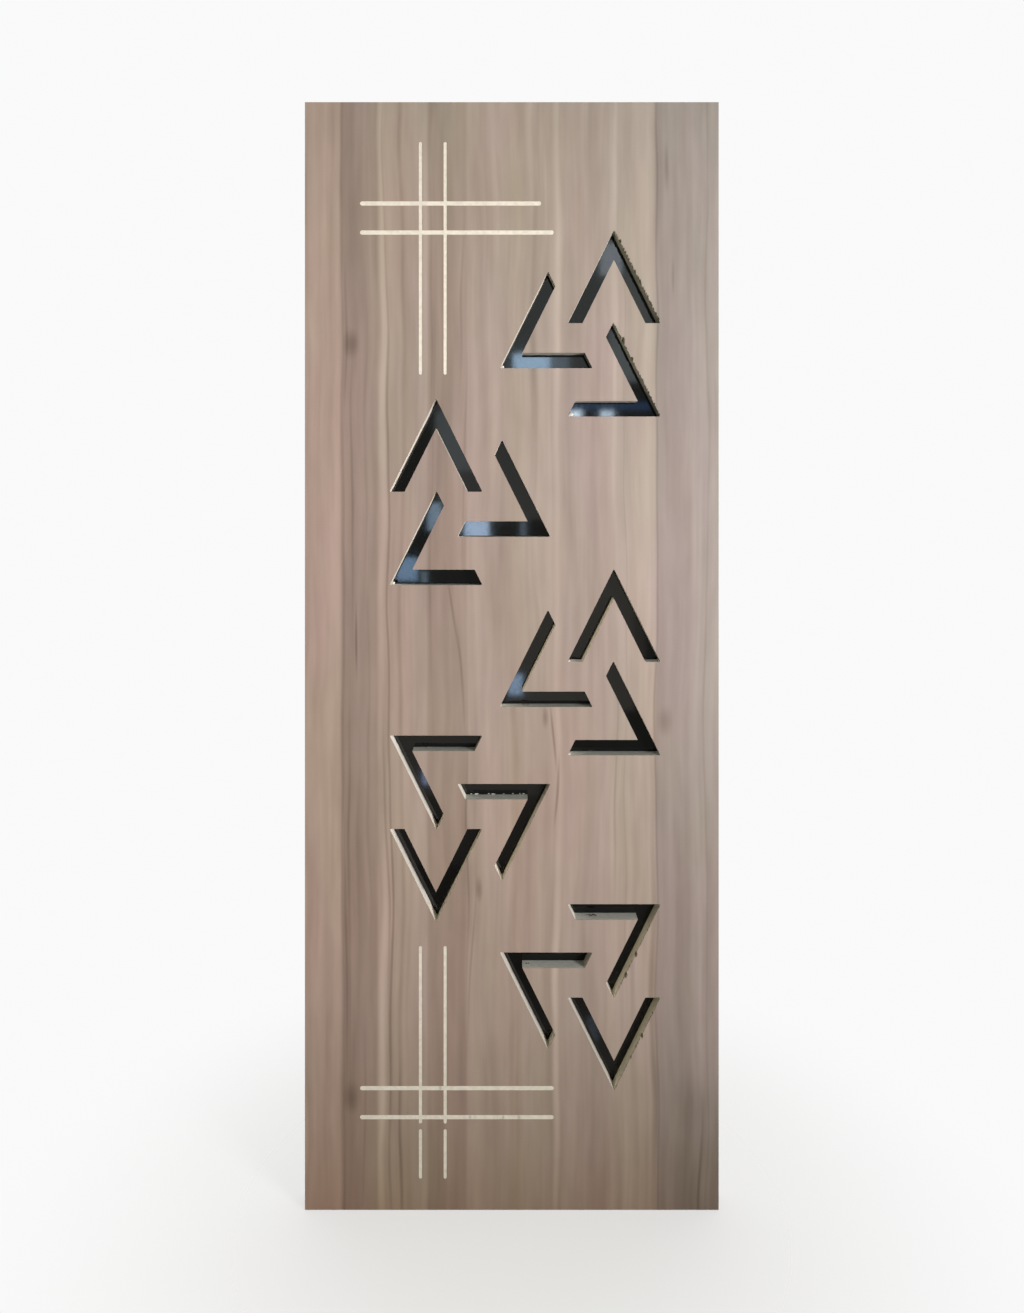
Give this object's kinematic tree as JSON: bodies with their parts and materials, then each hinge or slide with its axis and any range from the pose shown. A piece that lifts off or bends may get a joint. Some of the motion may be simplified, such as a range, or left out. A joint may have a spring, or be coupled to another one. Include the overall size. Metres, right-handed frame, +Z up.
{
  "type": "door leaf",
  "caption": "Flush security door leaf in wood-grain laminate, with sunk black chevrons and fine grooved lines, hung on its long edge.",
  "frame": {"origin": "middle of the hinge edge, at mid-height and mid-thickness", "axes": "+Z up; -Y out of the decorated front; +X out of the hinge edge, so the leaf lies from x = -0.762 to 0"},
  "size_m": [0.762, 0.045, 2.04],
  "materials": {
    "ivory_board": "sawn and routed board, matt",
    "wood_laminate": "satin wood-grain laminate",
    "edge_wood": "planed and oiled",
    "black_gloss": "polished"
  },
  "bodies": {
    "root": {"door_core": "ivory_board", "face_laminate": "wood_laminate", "laminate_square_top": "wood_laminate", "laminate_square_bottom": "wood_laminate", "back_laminate": "wood_laminate", "lipping_hinge_side": "edge_wood", "lipping_lock_side": "edge_wood", "lipping_top": "edge_wood", "lipping_bottom": "edge_wood", "inlay_row1_peak": "black_gloss", "inlay_row1_side": "black_gloss", "inlay_row1_foot": "black_gloss", "inlay_row2_peak": "black_gloss", "inlay_row2_side": "black_gloss", "inlay_row2_foot": "black_gloss", "inlay_row3_peak": "black_gloss", "inlay_row3_side": "black_gloss", "inlay_row3_foot": "black_gloss", "inlay_row4_peak": "black_gloss", "inlay_row4_side": "black_gloss", "inlay_row4_foot": "black_gloss", "inlay_row5_peak": "black_gloss", "inlay_row5_side": "black_gloss", "inlay_row5_foot": "black_gloss"}
  },
  "joints": []
}
